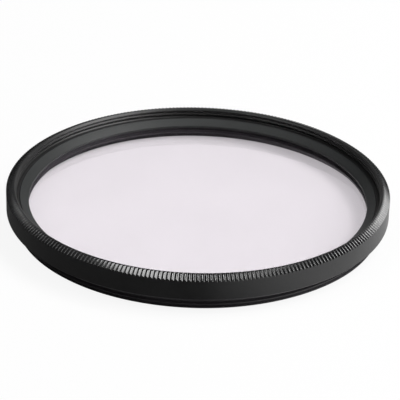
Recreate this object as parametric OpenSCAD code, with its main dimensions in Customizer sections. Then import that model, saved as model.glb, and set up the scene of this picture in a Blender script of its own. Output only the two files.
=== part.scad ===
// Screw-in skylight filter for a camera lens: a turned mount ring with a knurled bevel,
// a glass disc on an inner flange, and a retaining ring screwed down on the glass.
// The origin is the centre of the rear face, where the ring's male thread ends, and +Z
// points out of the front of the filter.

/* [Threads] */
// Nominal diameter of the front and rear threads
thread_d = 67; // [66:0.5:68]
// Pitch of both threads
thread_pitch = 0.75; // [0.5:0.25:1]
// Depth of the front female thread, from the front face
front_thread_h = 1.75; // [1.4:0.05:2]
// Height of the rear male thread with its relief groove
rear_thread_h = 2.6; // [2.2:0.1:3]
// Height of the relief groove behind the shoulder
relief_h = 0.5; // [0.3:0.05:0.7]

/* [Mount ring] */
// Thickness of the wall round the front thread
wall_t = 1.6; // [1.4:0.05:2.4]
// Height of the full-diameter wall, with the bevel on top
wall_h = 4.5; // [4.4:0.1:5.5]
// Chamfer at the foot of the wall
foot_chamfer = 0.2; // [0.1:0.05:0.3]
// Width of the flat land round the mouth
land_w = 0.6; // [0.5:0.05:0.7]
// Chamfer at the mouth of the front thread
mouth_chamfer = 0.1; // [0.05:0.05:0.2]
// Chamfer at the free end of the rear thread
end_chamfer = 0.15; // [0.05:0.05:0.25]
// Thickness of the rear thread's wall, from its crests in to the rear bore
rear_wall_t = 1.3; // [1.2:0.05:1.6]

/* [Knurl] */
// Spacing of the flutes along the outer edge
flute_pitch = 0.735; // [0.7:0.005:0.9]
// Height of the bevel that carries the flutes
bevel_h = 0.58; // [0.5:0.02:0.7]
// Width that is left flat between two flutes at the inner end of the bevel
flute_flat = 0.1; // [0.05:0.01:0.2]
// Angle between the two sides of a flute
flute_angle = 100; // [80:5:105]

/* [Glass] */
// Radial step from the retaining ring's seat in to the glass's seat
glass_step = 0.25; // [0.2:0.05:0.5]
// Thickness of the glass disc
glass_t = 2.6; // [2:0.1:2.8]
// Chamfer on both edges of the glass
glass_chamfer = 0.2; // [0.1:0.05:0.3]
// Radial width of the flange below the glass
flange_w = 1.35; // [1.1:0.05:1.8]
// Thickness of the flange below the glass
flange_t = 0.4; // [0.3:0.05:0.6]

/* [Retaining ring] */
// Radial step from the front thread in to the retaining ring's seat
retainer_step = 0.75; // [0.6:0.05:0.9]
// Radial width of the retaining ring
retainer_w = 1.7; // [1.4:0.05:2]
// Height of the retaining ring at its outer edge
retainer_h = 1.35; // [1.2:0.05:1.5]
// Height of the retaining ring at its inner edge
retainer_lip_h = 0.47; // [0.3:0.01:0.6]
// Width of the flat at the top of the retaining ring
retainer_flat_w = 0.15; // [0.1:0.05:0.3]
// Edge break at the inner edge of the retaining ring
retainer_break = 0.08; // [0.04:0.02:0.1]

/* [Hidden] */
// Radial room between the retaining ring and its thread
retainer_play = 0.05;
// Radial room between the glass and its seat
glass_play = 0.1;
// Depth of the thread profile, and what the root of the rear thread keeps of the radius
thread_depth = 0.6134 * thread_pitch;
rear_root_r = thread_d / 2 - thread_depth;
relief_r = rear_root_r - 0.04;
// Heights, from the rear face
ring_h = rear_thread_h + wall_h;
bevel_z = ring_h - bevel_h;
front_thread_z = ring_h - front_thread_h;
glass_top_z = front_thread_z - retainer_h;
glass_z = glass_top_z - glass_t;
flange_z = glass_z - flange_t;
// Radii of the mouth and the bevel
front_bore_r = thread_d / 2;
ring_r = front_bore_r + wall_t;
mouth_r = front_bore_r + mouth_chamfer;
land_r = mouth_r + land_w;
// Radii inside the mount ring
retainer_seat_r = front_bore_r - retainer_step;
glass_seat_r = retainer_seat_r - glass_step;
clear_r = glass_seat_r - flange_w;
rear_bore_r = thread_d / 2 - rear_wall_t;
// The bevel runs down and outward at this angle, and a flute's cutter passes both its ends
bevel_w = ring_r - land_r;
bevel_angle = atan2(bevel_h, bevel_w);
bevel_length = norm([bevel_w, bevel_h]);
flute_run_out = 2;
flute_length = bevel_length + 2 * flute_run_out;
flute_rise = 0.4;
// As many flutes as fit round the outer edge, each as deep as its room on the land allows
flute_count = round(2 * PI * ring_r / flute_pitch);
flute_w = 2 * PI * land_r / flute_count - flute_flat;
flute_depth = flute_w / 2 / tan(flute_angle / 2);
flute_half_w = (flute_depth + flute_rise) * tan(flute_angle / 2);
$fn = 240;

// Section of the mount ring without its flutes, counted from the mouth down the outside
module mount_ring_section() {
    polygon([
        [mouth_r, ring_h],
        [land_r, ring_h],
        [ring_r, bevel_z],
        [ring_r, rear_thread_h + foot_chamfer],
        [ring_r - foot_chamfer, rear_thread_h],
        [relief_r, rear_thread_h],
        [relief_r, rear_thread_h - relief_h],
        [rear_root_r, rear_thread_h - relief_h],
        [rear_root_r, end_chamfer],
        [rear_root_r - end_chamfer, 0],
        [rear_bore_r, 0],
        [rear_bore_r, flange_z],
        [clear_r, flange_z],
        [clear_r, glass_z],
        [glass_seat_r, glass_z],
        [glass_seat_r, glass_top_z],
        [retainer_seat_r, glass_top_z],
        [retainer_seat_r, front_thread_z],
        [front_bore_r, front_thread_z],
        [front_bore_r, ring_h - mouth_chamfer],
    ]);
}

// One V-shaped cutter, with its edge below the bevel and parallel to it
module flute_cutter() {
    translate([(land_r + ring_r) / 2, 0, ring_h - bevel_h / 2])
        rotate([0, bevel_angle, 0])
            rotate([90, 0, 90])
                linear_extrude(height = flute_length, center = true)
                    polygon([
                        [0, -flute_depth],
                        [flute_half_w, flute_rise],
                        [-flute_half_w, flute_rise],
                    ]);
}

// The turned ring, with flutes cut across its bevel for the fingers
module mount_ring() {
    color([0.08, 0.08, 0.085])
        difference() {
            rotate_extrude() mount_ring_section();
            for (flute = [0 : flute_count - 1])
                rotate([0, 0, flute * 360 / flute_count])
                    flute_cutter();
        }
}

// The glass disc, resting on the flange
module glass() {
    glass_r = glass_seat_r - glass_play;
    color([0.93, 0.90, 0.93, 0.35])
        rotate_extrude()
            polygon([
                [0, glass_z],
                [glass_r - glass_chamfer, glass_z],
                [glass_r, glass_z + glass_chamfer],
                [glass_r, glass_top_z - glass_chamfer],
                [glass_r - glass_chamfer, glass_top_z],
                [0, glass_top_z],
            ]);
}

// The retaining ring, whose top slopes down to its inner edge
module retaining_ring() {
    outer_r = retainer_seat_r - retainer_play;
    inner_r = outer_r - retainer_w;
    lip_z = glass_top_z + retainer_lip_h;
    color([0.14, 0.14, 0.15])
        rotate_extrude()
            polygon([
                [inner_r, glass_top_z],
                [outer_r, glass_top_z],
                [outer_r, front_thread_z],
                [outer_r - retainer_flat_w, front_thread_z],
                [inner_r + retainer_break, lip_z],
                [inner_r, lip_z - retainer_break],
            ]);
}

mount_ring();
glass();
retaining_ring();
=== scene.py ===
import bmesh
import bpy
import math
import numpy as np
from mathutils import Matrix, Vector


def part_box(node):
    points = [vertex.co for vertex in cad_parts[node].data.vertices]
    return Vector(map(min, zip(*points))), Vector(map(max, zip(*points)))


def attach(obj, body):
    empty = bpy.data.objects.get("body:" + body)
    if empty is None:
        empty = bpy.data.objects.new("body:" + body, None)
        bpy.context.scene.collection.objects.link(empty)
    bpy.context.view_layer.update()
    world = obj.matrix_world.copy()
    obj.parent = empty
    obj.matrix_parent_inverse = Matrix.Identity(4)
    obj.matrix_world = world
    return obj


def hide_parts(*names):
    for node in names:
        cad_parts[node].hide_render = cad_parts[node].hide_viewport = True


# Skylight filter lying on its rear face: a turned black ring with a knurled bevel, a glass
# disc on the ring's inner flange, and a retaining ring screwed down on the glass.
# Sizes in the dictionaries are millimetres and degrees, and meshes are made in metres.
mm = 0.001
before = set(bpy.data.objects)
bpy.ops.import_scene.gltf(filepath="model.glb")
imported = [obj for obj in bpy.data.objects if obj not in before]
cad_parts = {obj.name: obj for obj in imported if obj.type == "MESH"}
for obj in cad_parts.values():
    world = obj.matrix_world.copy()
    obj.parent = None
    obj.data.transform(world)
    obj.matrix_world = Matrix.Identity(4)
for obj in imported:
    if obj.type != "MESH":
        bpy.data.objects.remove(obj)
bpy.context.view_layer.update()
print("frame loaded:", sorted(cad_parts))


def boxOf(node):
    # Outer radius, lowest and highest point of a CAD node, in millimetres
    low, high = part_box(node)
    return high.x / mm, low.z / mm, high.z / mm


ringRadius, ringBottom, ringTop = boxOf("mount_ring")
glassRadius, glassBottom, glassTop = boxOf("glass")
retainerRadius, retainerBottom, retainerTop = boxOf("retaining_ring")
seatGap = 0.008          # keeps faces that touch from lying in one plane, too thin to see
weldDistance = 0.0002    # points nearer than this become one
sharpAngle = 28          # faces that meet at more than this keep a hard edge


# Mesh helpers
# Sections are arrays of complex numbers, radius + 1j * height, so turning a step is a product.

def roundCorners(corners, radius, steps):
    # Each corner gives way to an arc tangent to both its sides. The turn at a corner is the
    # angle between the steps in and out, the arc starts radius * tan(turn / 2) before it, and
    # its points turn about the centre, one radius to the side of that start.
    stepIn = corners - np.roll(corners, 1)
    stepOut = np.roll(corners, -1) - corners
    stepIn, stepOut = stepIn / np.abs(stepIn), stepOut / np.abs(stepOut)
    turn = np.angle(stepOut / stepIn)
    start = corners - stepIn * radius * np.tan(np.abs(turn) / 2)
    centre = start + stepIn * 1j * np.sign(turn) * radius
    share = np.linspace(0, 1, steps + 1)
    return centre[:, None] + (start - centre)[:, None] * np.exp(1j * turn[:, None] * share)


def turned(section, angles):
    # Each row of the section array is the section at one angle: x and y are the radius times
    # the cosine and sine of the angle, and z is the height.
    points = np.empty(section.shape + (3,))
    points[..., 0] = section.real * np.cos(angles)[:, None]
    points[..., 1] = section.real * np.sin(angles)[:, None]
    points[..., 2] = section.imag
    return points * mm


def gridFaces(columns, rows, first=0):
    # Four corners for each cell of a grid whose points are stored column after column
    column, row = np.meshgrid(np.arange(columns - 1), np.arange(rows - 1), indexing="ij")
    corner = (first + column * rows + row).ravel()
    return np.stack([corner, corner + 1, corner + rows + 1, corner + rows], axis=1)


def makePiece(name, points, faces, node, finishes):
    # Points and faces become one closed mesh: doubles at the seam, the poles and the thread's
    # ends are merged, which drops faces of no area, and the sides are turned outwards.
    # Finishes gives each face the number of its material.
    mesh = bpy.data.meshes.new(name)
    mesh.from_pydata(points.tolist(), [], [face for block in faces for face in block.tolist()])
    mesh.polygons.foreach_set("material_index", finishes)
    build = bmesh.new()
    build.from_mesh(mesh)
    bmesh.ops.remove_doubles(build, verts=build.verts, dist=weldDistance * mm)
    bmesh.ops.recalc_face_normals(build, faces=build.faces)
    build.to_mesh(mesh)
    build.free()
    mesh.shade_smooth()
    mesh.set_sharp_from_angle(angle=math.radians(sharpAngle))
    piece = bpy.data.objects.new(name, mesh)
    bpy.context.scene.collection.objects.link(piece)
    weigh = piece.modifiers.new("flatFacesFirst", "WEIGHTED_NORMAL")
    weigh.keep_sharp = True
    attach(piece, "root")
    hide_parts(node)
    openEdges = sum(1 for edge in meshEdges(mesh) if edge == 1)
    print(name, "faces:", len(mesh.polygons), "open edges:", openEdges)
    return piece


def meshEdges(mesh):
    # How many faces meet at each edge
    edges = np.empty(len(mesh.loops), dtype=np.int32)
    mesh.loops.foreach_get("edge_index", edges)
    return np.bincount(edges, minlength=len(mesh.edges))


# Mount ring
# A thread's profile gives, in pitches from a crest, where the crest's edge rounding starts and
# ends and where the root's does. The shares are how much of the depth is left at each.
mountRing = {
    "threadDiameter": 67.0,
    "threadPitch": 0.75,
    "threadDepth": 0.46,
    "frontThreadDepth": 0.26,
    "rearThreadProfile": (0.045, 0.075, 0.40, 0.44),
    "frontThreadProfile": (0.10, 0.13, 0.42, 0.45),
    "threadShares": (1, 0.96, 0.04, 0),
    "threadSideRows": 4,
    "frontThreadHeight": 1.75,
    "rearThreadHeight": 2.6,
    "reliefHeight": 0.5,
    "reliefRadius": 33.0,
    "rearBoreRadius": 32.2,
    "landWidth": 0.6,
    "mouthChamfer": 0.1,
    "footChamfer": 0.2,
    "rearEndRadius": 33.12,     # crests are cut down to this at the rear face
    "rearEndSlope": 1.2,        # how fast the cut-down rear crests widen with height
    "reliefSlope": 1.5,         # and those at the relief groove, going down
    "bevelHeight": 0.58,
    "fluteCount": 300,
    "fluteFlat": 0.1,
    "fluteAngle": 100.0,
    "fluteRootRounding": 0.03,
    "fluteCrestRounding": 0.015,
    "flangeWidth": 1.35,
    "flangeThickness": 0.4,
    "retainerPlay": 0.05,
    "glassPlay": 0.1,
    "edgeRounding": 0.03,
    "bandRoundingSteps": 3,     # steps of each edge rounding on the fluted band
    "roundingSteps": 2,         # and on the rest
    "bandInset": 0.04,          # the fluted band starts this far out from the mouth
    "bandDrop": 0.6,            # and ends this far below the bevel
    "fanDrop": 0.15,            # height of the triangles between the band and the plain wall
    "crestAngle": -90.0,        # crests pass this side of the ring at these heights
    "rearCrestHeight": 0.24,
    "frontCrestHeight": 5.6,
    "coarsePerFlute": 2,        # columns of the plain parts in each flute's pitch
}
threadRadius = mountRing["threadDiameter"] / 2
threadRootRadius = threadRadius - mountRing["threadDepth"]
mouthRadius = threadRadius + mountRing["mouthChamfer"]
landRadius = mouthRadius + mountRing["landWidth"]
bevelFoot = ringTop - mountRing["bevelHeight"]
reliefTop = ringBottom + mountRing["rearThreadHeight"]
reliefFoot = reliefTop - mountRing["reliefHeight"]
frontThreadFoot = ringTop - mountRing["frontThreadHeight"]
bevelStep = (ringRadius - landRadius) - 1j * mountRing["bevelHeight"]
bevelStep = bevelStep / abs(bevelStep)
bandTopRadius = mouthRadius + mountRing["bandInset"]
bandFootHeight = bevelFoot - mountRing["bandDrop"]

# Numbers of the ring's finishes, in the order in which its materials are added below
wallFinish, knurlFinish, crestWearAndSheenFinish, threadPaintedLightFinish, borePaintedLightFinish = range(5)

# Places of the columns in one flute, as shares of its pitch from its lowest line, and the
# numbers of those on the crest between two flutes
fluteColumns = np.array([0, 0.05, 0.4, 0.45, 0.5, 0.55, 0.6, 0.95])
crestColumns = [2, 3, 4, 5]


def fluteDepthAt(sideways):
    # Depth of a flute below the bevel at a sideways distance from its lowest line: the full
    # depth less that distance over the tangent of half the V's angle. A hyperbola rounds the
    # root, and half the sum of the depth and its hypotenuse with the rounding eases the crest.
    fluteWidth = 2 * math.pi * landRadius / mountRing["fluteCount"] - mountRing["fluteFlat"]
    slope = 1 / math.tan(math.radians(mountRing["fluteAngle"] / 2))
    root = mountRing["fluteRootRounding"]
    straight = slope * (fluteWidth / 2 - np.sqrt(sideways ** 2 + root ** 2) + root)
    return (straight + np.hypot(straight, mountRing["fluteCrestRounding"])) / 2


def flutedBand():
    # The section at each angle is the land, the bevel moved inwards by the flute's depth, and
    # the wall. Where the bevel is cut it meets the land further in, by the depth over the sine
    # of its slope, and the wall lower down, by the depth over the cosine.
    count = mountRing["fluteCount"]
    places = (np.arange(count)[:, None] + fluteColumns).ravel()
    places = np.append(places, count)
    angles = places * 2 * math.pi / count
    fromRoot = np.abs(places - np.round(places)) * 2 * math.pi / count
    slopeCos, slopeSin = bevelStep.real, -bevelStep.imag
    upper = landRadius - fluteDepthAt(landRadius * np.sin(fromRoot)) / slopeSin + 1j * ringTop
    lower = ringRadius + 1j * (bevelFoot - fluteDepthAt(ringRadius * np.sin(fromRoot)) / slopeCos)
    # The two roundings are the same at every angle, so one set of each is moved to its corner
    rounding = mountRing["edgeRounding"]
    corners = np.array([-1, 0, bevelStep, bevelStep - 1j])
    arcs = roundCorners(corners, rounding, mountRing["bandRoundingSteps"])
    upperArc, lowerArc = arcs[1] - corners[1], arcs[2] - corners[2]
    inner = np.full((len(angles), 1), bandTopRadius + 1j * ringTop)
    outer = np.full((len(angles), 1), ringRadius + 1j * bandFootHeight)
    section = np.hstack([inner, upper[:, None] + upperArc, lower[:, None] + lowerArc, outer])
    return turned(section, angles), angles


def threadRows(angles, low, high, crestHeight, profile):
    # Rows that follow a right-hand helix: a row's height is the rise of the crest at that
    # angle plus whole pitches plus the row's place in the profile, held between low and high.
    # The share of the thread's depth there comes from the distance to the nearest crest: full
    # on the crest, down a straight side, and none at the root.
    pitch = mountRing["threadPitch"]
    sides = np.linspace(profile[1], profile[2], mountRing["threadSideRows"])
    places = np.concatenate([[profile[0]], sides])
    places = np.concatenate([-places[::-1], places, [0.5]])
    first = math.floor((low - crestHeight) / pitch) - 2
    turns = np.arange(first, math.ceil((high - crestHeight) / pitch) + 2)
    rise = (angles - math.radians(mountRing["crestAngle"])) / (2 * math.pi) * pitch
    crests = crestHeight + rise[:, None]
    heights = np.clip(crests + (turns[:, None] + places).ravel() * pitch, low, high)
    fromCrest = (heights - crests) / pitch
    fromCrest = np.abs(fromCrest - np.round(fromCrest))
    return heights, np.interp(fromCrest, profile, mountRing["threadShares"])


def rearThread(angles):
    # Root radius plus the share of the depth, cut down by the cone at the rear end and by a
    # steeper one at the relief groove, from its top row down
    ring = mountRing
    heights, share = threadRows(
        angles, ringBottom, reliefFoot, ring["rearCrestHeight"], ring["rearThreadProfile"])
    radius = threadRootRadius + ring["threadDepth"] * share
    endCone = ring["rearEndRadius"] + ring["rearEndSlope"] * (heights - ringBottom)
    reliefCone = ring["reliefRadius"] + ring["reliefSlope"] * (reliefFoot - heights)
    radius = np.minimum(radius, np.minimum(endCone, reliefCone))
    return (radius + 1j * heights)[:, ::-1]


def frontThread(angles):
    # Major radius less the share of the depth, with the crests cut back by the mouth's cone
    ring = mountRing
    top = ringTop - ring["mouthChamfer"]
    heights, share = threadRows(
        angles, frontThreadFoot, top, ring["frontCrestHeight"], ring["frontThreadProfile"])
    radius = threadRadius - ring["frontThreadDepth"] * share
    mouthCone = mouthRadius - (ringTop - heights)
    return np.maximum(radius, mouthCone) + 1j * heights


def insideAndBack(angles):
    # The rest of the section at each angle, from the wall below the band down the outside,
    # under the ring, and up the inside to the land: corners with small roundings, and threads
    ring = mountRing
    retainerSeat = retainerRadius + ring["retainerPlay"]
    glassSeat = glassRadius + ring["glassPlay"]
    clearRadius = glassSeat - ring["flangeWidth"]
    seat = glassBottom - seatGap
    flangeFoot = glassBottom - ring["flangeThickness"]
    outside = np.array([
        ringRadius + 1j * bandFootHeight,
        ringRadius + 1j * (reliefTop + ring["footChamfer"]),
        ringRadius - ring["footChamfer"] + 1j * reliefTop,
        ring["reliefRadius"] + 1j * reliefTop,
        ring["reliefRadius"] + 1j * reliefFoot,
    ])
    inside = np.array([
        threadRootRadius + 1j * ringBottom,
        ring["rearBoreRadius"] + 1j * ringBottom,
        ring["rearBoreRadius"] + 1j * flangeFoot,
        clearRadius + 1j * flangeFoot,
        clearRadius + 1j * seat,
        glassSeat + 1j * seat,
        glassSeat + 1j * retainerBottom,
        retainerSeat + 1j * retainerBottom,
        retainerSeat + 1j * frontThreadFoot,
        threadRadius + 1j * frontThreadFoot,
    ])
    start = ringRadius + 1j * (bandFootHeight - ring["fanDrop"])
    rounding, steps = ring["edgeRounding"], ring["roundingSteps"]
    downOutside = roundCorners(outside, rounding, steps)[1:-1].ravel()
    downOutside = np.concatenate([[start], downOutside])
    upInside = roundCorners(inside, rounding, steps)[1:-1].ravel()
    across = np.ones((len(angles), 1))
    return np.hstack([
        across * downOutside,
        rearThread(angles),
        across * upInside,
        frontThread(angles),
        across * (mouthRadius + 1j * ringTop),
    ])


def fanFaces(fine, coarse, ratio):
    # Triangles between a row of many points and a row of few, both given as point numbers:
    # half of the fine points in each coarse step go to its first corner and half to its last
    steps = np.arange(len(coarse) - 1)
    nearFirst = np.arange(ratio // 2)
    nearLast = np.arange(ratio // 2, ratio)
    blocks = []
    for corner, places in ((steps, nearFirst), (steps + 1, nearLast)):
        begin = steps[:, None] * ratio + places
        tip = np.broadcast_to(coarse[corner][:, None], begin.shape)
        blocks.append(np.stack([tip, fine[begin], fine[begin + 1]], axis=2).reshape(-1, 3))
    middle = fine[steps * ratio + ratio // 2]
    blocks.append(np.stack([coarse[steps], middle, coarse[steps + 1]], axis=1))
    return np.concatenate(blocks)


def buildMountRing():
    # The fine grid of the fluted band and the coarse grid of the rest, which keeps one in
    # every ratio of the band's columns, joined by fans of triangles at the wall and the mouth
    band, angles = flutedBand()
    ratio = len(fluteColumns) // mountRing["coarsePerFlute"]
    rest = turned(insideAndBack(angles[::ratio]), angles[::ratio])
    fineColumns, bandRows = band.shape[:2]
    coarseColumns, restRows = rest.shape[:2]
    restFirst = fineColumns * bandRows
    fine = np.arange(fineColumns) * bandRows
    coarse = restFirst + np.arange(coarseColumns) * restRows
    faces = [
        gridFaces(fineColumns, bandRows),
        gridFaces(coarseColumns, restRows, restFirst),
        fanFaces(fine + bandRows - 1, coarse, ratio),
        fanFaces(fine, coarse + restRows - 1, ratio),
    ]
    points = np.concatenate([band.reshape(-1, 3), rest.reshape(-1, 3)])
    # The knurl's finish is on the band apart from its first and last row, land and wall, and the
    # narrow columns in the middle of each flute's pitch, its crest, have the worn one, whose
    # lighter tone is wear and also painted highlight
    column, row = np.divmod(np.arange(len(faces[0])), bandRows - 1)
    crest = np.isin(column % len(fluteColumns), crestColumns)
    cut = np.where(crest, crestWearAndSheenFinish, knurlFinish)
    onBand = np.where((row > 0) & (row < bandRows - 2), cut, wallFinish)
    # The rest starts with the wall down to its foot's rounding and ends with the front thread up
    # to the mouth, and all between them has the bore's finish. The thread's and the bore's
    # finishes are lighter than the black, painted light on these shaded parts.
    row = np.arange(len(faces[1])) % (restRows - 1)
    wallRows = 1 + mountRing["roundingSteps"]
    threadFirstRow = restRows - 2 - frontThread(angles[:1]).shape[1]
    onRest = np.select(
        [row >= threadFirstRow, row >= wallRows], [threadPaintedLightFinish, borePaintedLightFinish], wallFinish)
    onFans = np.full(len(faces[2]) + len(faces[3]), wallFinish)
    finishes = np.concatenate([onBand, onRest, onFans]).astype(np.int32)
    return makePiece(
        "mountRingTurned", points, faces, "mount_ring", finishes)


def revolve(section, columns):
    # One section carried round the axis, first and last column in the same place
    angles = np.linspace(0, 2 * math.pi, columns + 1)
    points = turned(np.ones((columns + 1, 1)) * section, angles)
    return points.reshape(-1, 3), [gridFaces(columns + 1, len(section))]


# Retaining ring
retainingRing = {
    "width": 1.7,
    "lipHeight": 0.47,
    "topFlat": 0.15,
    "lipBreak": 0.08,
    "edgeRounding": 0.03,
    "roundingSteps": 3,
    # Painted shade: the black on these corners darkens the narrow top like the gap beside the
    # thread
    "paintedShadeCorners": 3.5,        # corners with black finish, the last to its rounding's middle
    "columns": 720,
}


def buildRetainingRing():
    # A closed section: flat foot, upright outside, narrow top and a cone down to the lip
    ring = retainingRing
    inner = retainerRadius - ring["width"]
    foot = retainerBottom + seatGap
    lip = retainerBottom + ring["lipHeight"]
    corners = np.array([
        inner + 1j * foot,
        retainerRadius + 1j * foot,
        retainerRadius + 1j * retainerTop,
        retainerRadius - ring["topFlat"] + 1j * retainerTop,
        inner + ring["lipBreak"] + 1j * lip,
        inner + 1j * (lip - ring["lipBreak"]),
    ])
    section = roundCorners(corners, ring["edgeRounding"], ring["roundingSteps"]).ravel()
    points, faces = revolve(np.append(section, section[0]), ring["columns"])
    # Faces from the foot to the inner edge of the narrow top have the ring's black finish, which
    # on the narrow top is painted shade for the gap between it and the thread
    row = np.arange(len(faces[0])) % len(section)
    finishes = (row < ring["paintedShadeCorners"] * (ring["roundingSteps"] + 1)).astype(np.int32)
    return makePiece(
        "retainingRingTurned", points, faces, "retaining_ring", finishes)


# Glass
glassDisc = {
    "chamfer": 0.2,
    "edgeRounding": 0.05,
    "roundingSteps": 3,
    "columns": 360,
    "faceRings": 12,
}


def buildGlass():
    # Half of the disc's section from the axis out over the lower face, up the edge and back
    disc = glassDisc
    cut = disc["chamfer"]
    edge = np.array([
        glassBottom * 1j,
        glassRadius - cut + 1j * glassBottom,
        glassRadius + 1j * (glassBottom + cut),
        glassRadius + 1j * (glassTop - cut),
        glassRadius - cut + 1j * glassTop,
        glassTop * 1j,
    ])
    edge = roundCorners(edge, disc["edgeRounding"], disc["roundingSteps"])[1:-1].ravel()
    across = np.linspace(0, 1, disc["faceRings"], endpoint=False)
    lower = 1j * glassBottom + across * edge[0].real
    upper = 1j * glassTop + across[::-1] * edge[-1].real
    points, faces = revolve(np.concatenate([lower, edge, upper]), disc["columns"])
    # Faces between two points of the edge have the rim's finish
    row = np.arange(len(faces[0])) % (len(lower) + len(edge) + len(upper) - 1)
    finishes = ((row >= len(lower)) & (row < len(lower) + len(edge) - 1)).astype(np.int32)
    return makePiece("glassDisc", points, faces, "glass", finishes)


ringPiece = buildMountRing()
retainerPiece = buildRetainingRing()
glassPiece = buildGlass()
print("pieces built")


# Materials
def addNode(tree, kind, inputs, **settings):
    # A node with its settings, and with each input given a value or joined to a socket
    made = tree.nodes.new(kind)
    for setting, value in settings.items():
        setattr(made, setting, value)
    for name, value in inputs.items():
        if isinstance(value, bpy.types.NodeSocket):
            tree.links.new(value, made.inputs[name])
        else:
            made.inputs[name].default_value = value
    return made


def newFinish(name):
    # A material with its node tree and its shader
    material = bpy.data.materials.new(name)
    material.use_nodes = True
    return material, material.node_tree, material.node_tree.nodes["Principled BSDF"]


def objectPlace(tree):
    # Object coordinates, in metres
    return addNode(tree, "ShaderNodeTexCoord", {}).outputs["Object"]


def axisDistance(tree, place):
    # The length of the place's flat part, x and y, is its distance from the ring's axis
    flat = addNode(tree, "ShaderNodeVectorMath", {0: place, 1: (1, 1, 0)}, operation="MULTIPLY")
    radius = addNode(tree, "ShaderNodeVectorMath", {0: flat.outputs[0]}, operation="LENGTH")
    return radius.outputs["Value"]


def noise(tree, place, scale, detail):
    # Noise from 0 to 1 with a scale in cells for each metre
    return addNode(
        tree, "ShaderNodeTexNoise", {"Vector": place, "Scale": scale, "Detail": detail},
    ).outputs["Fac"]


def sumOf(tree, first, second):
    # The sum of two sockets
    return addNode(tree, "ShaderNodeMath", {0: first, 1: second}, operation="ADD").outputs[0]


def blend(tree, share, low, high):
    # A number that goes from low to high with the share
    spread = addNode(tree, "ShaderNodeMapRange", {"Value": share, "To Min": low, "To Max": high})
    return spread.outputs["Result"]


def blendColours(tree, share, low, high):
    # A colour that goes from low to high with the share. The node's colour sockets share their
    # names with others, so they are given by number.
    made = addNode(tree, "ShaderNodeMix", {0: share, 6: low, 7: high}, data_type="RGBA")
    return made.outputs[2]


# Finishes of the anodised metal. Roughness goes from smoothest to roughest and tone from darkest
# to lightest. Lines and grain are counted for each metre, and the depth of both is in metres.
# The ring's wall, land and mouth, and the retaining ring's foot, outside and narrow top, where
# the black is painted shade for the gap beside the thread
blackAnodised = {
    "darkest": (0.005, 0.005, 0.0055, 1),
    "lightest": (0.009, 0.009, 0.0095, 1),
    "smoothest": 0.34,
    "roughest": 0.46,
    "specular": 0.6,
    "index": 1.5,
    "turningLines": 7000,
    "turningDepth": 0.0000012,
    "grain": 2600,
}
# The sides of the flutes, which the cutter leaves glossier
knurlAnodised = {
    "darkest": (0.003, 0.003, 0.0035, 1),
    "lightest": (0.006, 0.006, 0.0065, 1),
    "smoothest": 0.16,
    "roughest": 0.24,
    "specular": 0.95,
    "index": 1.5,
    "turningLines": 9000,
    "turningDepth": 0.0000004,
    "grain": 4000,
}
# The front thread: a lighter copy of the black, painted light where the thread's hollow gets
# little
threadPaintedLight = {
    "darkest": (0.015, 0.015, 0.0148, 1),
    "lightest": (0.021, 0.021, 0.0206, 1),
    "smoothest": 0.36,
    "roughest": 0.46,
    "specular": 0.5,
    "index": 1.5,
    "turningLines": 7000,
    "turningDepth": 0.0000012,
    "grain": 2600,
}
# The crests between the flutes, where fingers have worn the black thin. Their lighter tone is
# that wear and also painted highlight for the bright strips on the crests.
crestWearAndSheen = {
    "darkest": (0.02, 0.02, 0.0205, 1),
    "lightest": (0.05, 0.05, 0.051, 1),
    "smoothest": 0.22,
    "roughest": 0.32,
    "specular": 1.0,
    "index": 1.75,
    "turningLines": 9000,
    "turningDepth": 0.0000004,
    "grain": 4000,
}
# The rear bore, the flange, the seats, the rear thread, its relief and the wall's foot: a lighter
# copy of the black, painted light on these shaded parts
borePaintedLight = {
    "darkest": (0.030, 0.028, 0.031, 1),
    "lightest": (0.040, 0.037, 0.042, 1),
    "smoothest": 0.4,
    "roughest": 0.5,
    "specular": 0.7,
    "index": 1.5,
    "turningLines": 7000,
    "turningDepth": 0.0000012,
    "grain": 2600,
}
# The retaining ring's cone and lip
darkAnodised = {
    "darkest": (0.0215, 0.0232, 0.0232, 1),
    "lightest": (0.029, 0.031, 0.031, 1),
    "smoothest": 0.44,
    "roughest": 0.54,
    "specular": 0.36,
    "index": 1.5,
    "turningLines": 11000,
    "turningDepth": 0.000001,
    "grain": 3600,
}
# What all of them share. The tone's range goes past 0 and 1, so that patches reach both ends, and
# the gloss's is where the sum of the three noises mostly lies.
anodisedMarks = {
    "lineDetail": 3.0,
    "grainDetail": 4.0,
    "patchScale": 160.0,
    "patchDetail": 5.0,
    "toneRange": (-0.4, 1.4),
    "glossRange": (1.1, 1.9),
}


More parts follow.
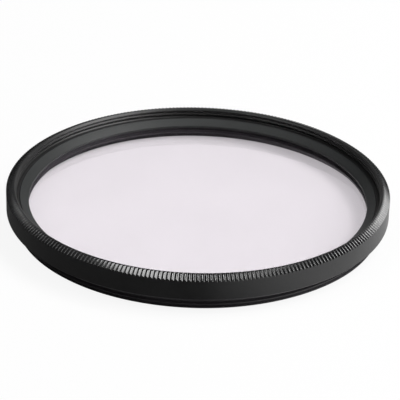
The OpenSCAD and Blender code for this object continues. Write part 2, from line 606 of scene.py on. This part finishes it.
def anodised(name, finish):
    # Anodised aluminium: turning lines that depend only on the distance from the axis and the
    # height, a fine etched grain over them, and slow patches in its tone and gloss
    shared = anodisedMarks
    material, tree, shader = newFinish(name)
    place = objectPlace(tree)
    height = addNode(tree, "ShaderNodeSeparateXYZ", {0: place}).outputs["Z"]
    lines = addNode(tree, "ShaderNodeTexNoise", {
        "W": sumOf(tree, axisDistance(tree, place), height),
        "Scale": finish["turningLines"],
        "Detail": shared["lineDetail"],
    }, noise_dimensions="1D").outputs["Fac"]
    grain = noise(tree, place, finish["grain"], shared["grainDetail"])
    patches = noise(tree, place, shared["patchScale"], shared["patchDetail"])
    tone = blendColours(
        tree, blend(tree, patches, *shared["toneRange"]), finish["darkest"], finish["lightest"])
    marks = sumOf(tree, lines, grain)
    spread = addNode(tree, "ShaderNodeMapRange", {
        "Value": sumOf(tree, marks, patches),
        "From Min": shared["glossRange"][0],
        "From Max": shared["glossRange"][1],
        "To Min": finish["smoothest"],
        "To Max": finish["roughest"],
    })
    bump = addNode(tree, "ShaderNodeBump", {
        "Height": marks,
        "Strength": 1.0,
        "Distance": finish["turningDepth"],
    })
    tree.links.new(tone, shader.inputs["Base Color"])
    tree.links.new(spread.outputs["Result"], shader.inputs["Roughness"])
    tree.links.new(bump.outputs["Normal"], shader.inputs["Normal"])
    shader.inputs["Specular IOR Level"].default_value = finish["specular"]
    shader.inputs["IOR"].default_value = finish["index"]
    return material


# The disc's two faces
filterGlass = {
    "clearest": (0.855, 0.813, 0.855, 1),
    "deepest": (0.828, 0.786, 0.828, 1),
    "index": 1.52,
    "haze": 0.03,              # roughness where the polish is least even
    "cloudScale": 60.0,
    "cloudDetail": 3.0,
    "toneRange": (-0.5, 1.5),
    "polishRange": (0.45, 0.75),
}
# The disc's edge
blackenedRim = {
    "darkest": (0.012, 0.010, 0.012, 1),
    "lightest": (0.035, 0.030, 0.036, 1),
    "smoothest": 0.55,
    "roughest": 0.8,
    "specular": 0.2,
    "grit": 4000.0,
    "gritDetail": 4.0,
    "toneRange": (-0.5, 1.5),
}


def polishedGlass():
    # Clear glass with a faint pink tint that is a little uneven, as is the polish
    glass = filterGlass
    material, tree, shader = newFinish("filterGlass")
    cloud = noise(tree, objectPlace(tree), glass["cloudScale"], glass["cloudDetail"])
    tint = blendColours(
        tree, blend(tree, cloud, *glass["toneRange"]), glass["clearest"], glass["deepest"])
    haze = addNode(tree, "ShaderNodeMapRange", {
        "Value": cloud,
        "From Min": glass["polishRange"][0],
        "From Max": glass["polishRange"][1],
        "To Max": glass["haze"],
    }).outputs["Result"]
    tree.links.new(tint, shader.inputs["Base Color"])
    tree.links.new(haze, shader.inputs["Roughness"])
    shader.inputs["Transmission Weight"].default_value = 1.0
    shader.inputs["IOR"].default_value = glass["index"]
    return material


def groundRim():
    # The disc's edge is ground and blackened, which leaves a dull and gritty coat
    rim = blackenedRim
    material, tree, shader = newFinish("blackenedRim")
    grit = noise(tree, objectPlace(tree), rim["grit"], rim["gritDetail"])
    tone = blendColours(
        tree, blend(tree, grit, *rim["toneRange"]), rim["darkest"], rim["lightest"])
    gloss = blend(tree, grit, rim["smoothest"], rim["roughest"])
    tree.links.new(tone, shader.inputs["Base Color"])
    tree.links.new(gloss, shader.inputs["Roughness"])
    shader.inputs["Specular IOR Level"].default_value = rim["specular"]
    return material


ringBlack = anodised("blackAnodised", blackAnodised)
for piece, materials in (
    (ringPiece, (
        ringBlack,
        anodised("knurlAnodised", knurlAnodised),
        anodised("crestWearAndSheen", crestWearAndSheen),
        anodised("threadPaintedLight", threadPaintedLight),
        anodised("borePaintedLight", borePaintedLight),
    )),
    # The retaining ring's black on its narrow top is painted shade for the gap beside the thread
    (retainerPiece, (anodised("darkAnodised", darkAnodised), ringBlack)),
    (glassPiece, (polishedGlass(), groundRim())),
):
    for material in materials:
        piece.data.materials.append(material)
glassPiece.visible_shadow = False      # clear glass lets the lamps through to the floor
print("finishes made")


# Floor, room and lamps
studio = {
    "floorHalfSize": 4000.0,
    "floorColour": (0.93, 0.93, 0.93, 1),
    "floorRoughness": 0.9,
    "seenWhite": 0.9,          # share of plain white in the floor as the camera sees it
    "throughWhite": 0.55,      # and as it is seen through the glass
    # Painted reflection: gloss sees the floor as a glow, dark at the left and in the middle as
    # painted shade, bright at the right as painted light
    "paintedReflectionDark": 0.12,         # how bright gloss sees the floor at the left and in the middle
    "paintedReflectionBright": 1.0,        # and at the right
    "paintedReflectionFrom": 2.0,          # the first reaches to here along X
    "paintedReflectionTo": 26.0,           # and the second starts here
    "roomLight": 0.05,         # how strongly the room lights the object
    "roomGloss": 0.03,         # and how bright gloss sees it
}


def kindsOfRay(tree):
    # Whether light is seen straight, through glass, or in a glossy surface. A ray through glass
    # counts as glossy too, so that part is taken away, and light that goes through the glass
    # to the floor, which scatters it, isn't seen through the glass.
    path = addNode(tree, "ShaderNodeLightPath", {})
    gloss = addNode(
        tree, "ShaderNodeMath",
        {0: path.outputs["Is Glossy Ray"], 1: path.outputs["Is Transmission Ray"]},
        operation="SUBTRACT", use_clamp=True).outputs[0]
    through = addNode(
        tree, "ShaderNodeMath",
        {0: path.outputs["Is Transmission Ray"], 1: path.outputs["Diffuse Depth"]},
        operation="SUBTRACT", use_clamp=True).outputs[0]
    return path.outputs["Is Camera Ray"], through, gloss


def whiteShare(tree, rays, shares):
    # The largest of the shares whose kind of ray it is, and none for the light that reaches
    # other surfaces
    most = 0.0
    for ray, share in zip(rays, shares):
        scaled = addNode(
            tree, "ShaderNodeMath", {0: ray, 1: share}, operation="MULTIPLY").outputs[0]
        most = addNode(
            tree, "ShaderNodeMath", {0: scaled, 1: most}, operation="MAXIMUM").outputs[0]
    return most


def paleFloor():
    # A white floor that keeps the ring's soft shadow and is part plain white where it is seen.
    # Gloss sees instead a painted reflection: a glow that rises from dark to bright towards the
    # right. From below it isn't there.
    mesh = bpy.data.meshes.new("floor")
    corners = np.array([[-1.0, -1, 0], [1, -1, 0], [1, 1, 0], [-1, 1, 0]])
    corners *= studio["floorHalfSize"]
    corners[:, 2] = ringBottom - seatGap
    mesh.from_pydata((corners * mm).tolist(), [], [(0, 1, 2, 3)])
    floor = bpy.data.objects.new("floor", mesh)
    bpy.context.scene.collection.objects.link(floor)
    material, tree, shader = newFinish("paleFloor")
    shader.inputs["Base Color"].default_value = studio["floorColour"]
    shader.inputs["Roughness"].default_value = studio["floorRoughness"]
    shader.inputs["Specular IOR Level"].default_value = 0.0
    rays = kindsOfRay(tree)
    seen = whiteShare(tree, rays, (studio["seenWhite"], studio["throughWhite"], 1.0))
    # The painted reflection's glow rises along X from its dark strength to its bright one
    sideways = addNode(tree, "ShaderNodeSeparateXYZ", {0: objectPlace(tree)}).outputs["X"]
    paintedReflectionRamp = addNode(tree, "ShaderNodeMapRange", {
        "Value": sideways,
        "From Min": studio["paintedReflectionFrom"] * mm,
        "From Max": studio["paintedReflectionTo"] * mm,
        "To Min": studio["paintedReflectionDark"],
        "To Max": studio["paintedReflectionBright"],
    }).outputs["Result"]
    strength = addNode(tree, "ShaderNodeMix", {0: rays[2], 2: 1.0, 3: paintedReflectionRamp}).outputs[0]
    white = addNode(tree, "ShaderNodeEmission", {"Strength": strength})
    front = addNode(tree, "ShaderNodeMixShader", {
        0: seen, 1: shader.outputs[0], 2: white.outputs[0],
    })
    below = addNode(tree, "ShaderNodeNewGeometry", {}).outputs["Backfacing"]
    clear = addNode(tree, "ShaderNodeBsdfTransparent", {})
    both = addNode(tree, "ShaderNodeMixShader", {
        0: below, 1: front.outputs[0], 2: clear.outputs[0],
    })
    tree.links.new(both.outputs[0], tree.nodes["Material Output"].inputs["Surface"])
    mesh.materials.append(material)


def whiteRoom():
    # The room lights softly, and is white where the camera, glass or gloss sees it
    world = bpy.data.worlds.new("room")
    bpy.context.scene.world = world
    world.use_nodes = True
    tree = world.node_tree
    seen = whiteShare(tree, kindsOfRay(tree), (1.0, 1.0, studio["roomGloss"]))
    strength = addNode(
        tree, "ShaderNodeMath", {0: seen, 1: studio["roomLight"]}, operation="MAXIMUM").outputs[0]
    tree.nodes["Background"].inputs["Color"].default_value = (1, 1, 1, 1)
    tree.links.new(strength, tree.nodes["Background"].inputs["Strength"])


# Azimuth is counted from +X towards +Y and elevation from the floor. Width and height are the
# degrees that a lamp covers as the ring sees it, roll turns it about its own axis, and
# brightness is its radiance, where 1 is white.
softboxDistance = 0.8
softboxes = {
    "keySoftbox": dict(azimuth=-14, elevation=49, width=30, height=34, roll=-25, brightness=5.5),
    "lowSoftbox": dict(azimuth=-28, elevation=8, width=30, height=12, roll=0, brightness=6),
    "leftSoftbox": dict(azimuth=192, elevation=62, width=20, height=14, roll=0, brightness=3),
    "topSoftbox": dict(azimuth=22, elevation=58, width=24, height=22, roll=0, brightness=7),
    "overheadSoftbox": dict(
        azimuth=90, elevation=84, width=80, height=44, roll=0, brightness=0.6),
    "backSoftbox": dict(azimuth=85, elevation=10, width=70, height=14, roll=0, brightness=0.6),
}


def hangSoftboxes():
    # Each lamp stands on a sphere round the ring's centre and faces it. A side is twice the
    # distance times the tangent of half its angle, and power is pi times area and brightness.
    # Lamps don't show through the glass, since their light on the floor there would count twice.
    for name, box in softboxes.items():
        lamp = bpy.data.lights.new(name, "AREA")
        lamp.shape = "RECTANGLE"
        lamp.size = 2 * softboxDistance * math.tan(math.radians(box["width"] / 2))
        lamp.size_y = 2 * softboxDistance * math.tan(math.radians(box["height"] / 2))
        lamp.energy = math.pi * lamp.size * lamp.size_y * box["brightness"]
        azimuth, elevation = math.radians(box["azimuth"]), math.radians(box["elevation"])
        turn = Matrix.Rotation(azimuth + math.pi / 2, 4, "Z")
        turn = turn @ Matrix.Rotation(math.pi / 2 - elevation, 4, "X")
        holder = bpy.data.objects.new(name, lamp)
        holder.matrix_world = (
            turn @ Matrix.Translation((0, 0, softboxDistance))
            @ Matrix.Rotation(math.radians(box["roll"]), 4, "Z"))
        holder.visible_camera = False
        holder.visible_transmission = False
        bpy.context.scene.collection.objects.link(holder)


# Camera, solved from the photograph: it stands in front and above, aims at the middle of the
# ring's top, and is then turned a little
photoCamera = {
    "distance": 366.24,
    "elevation": 26.504,
    "yaw": 0.0593,
    "pitch": 0.46,
    "roll": -1.5706,
    "focalLength": 179.894,
    "sensorWidth": 36.0,
    "nearest": 10.0,
    "farthest": 20000.0,
}


def placeCamera():
    # The camera stands back along its view by the distance, over the middle of the ring's top,
    # and its view is then turned about its own three axes
    view = photoCamera
    elevation = math.radians(view["elevation"])
    lens = bpy.data.cameras.new("camera")
    lens.lens = view["focalLength"]
    lens.sensor_width = view["sensorWidth"]
    lens.clip_start, lens.clip_end = view["nearest"] * mm, view["farthest"] * mm
    camera = bpy.data.objects.new("camera", lens)
    aim = Matrix.Rotation(math.pi / 2 - elevation, 3, "X")
    for angle, axis in ((view["yaw"], "Y"), (view["pitch"], "X"), (view["roll"], "Z")):
        aim = aim @ Matrix.Rotation(-math.radians(angle), 3, axis)
    back = Matrix.Rotation(math.pi / 2 - elevation, 4, "X") @ Matrix.Translation(
        (0, 0, view["distance"] * mm))
    camera.matrix_world = Matrix.Translation(
        (0, 0, ringTop * mm)) @ Matrix.Translation(back.translation) @ aim.to_4x4()
    bpy.context.scene.collection.objects.link(camera)
    bpy.context.scene.camera = camera


paleFloor()
whiteRoom()
hangSoftboxes()
placeCamera()
bpy.context.scene.view_settings.view_transform = "Standard"
print("studio ready")
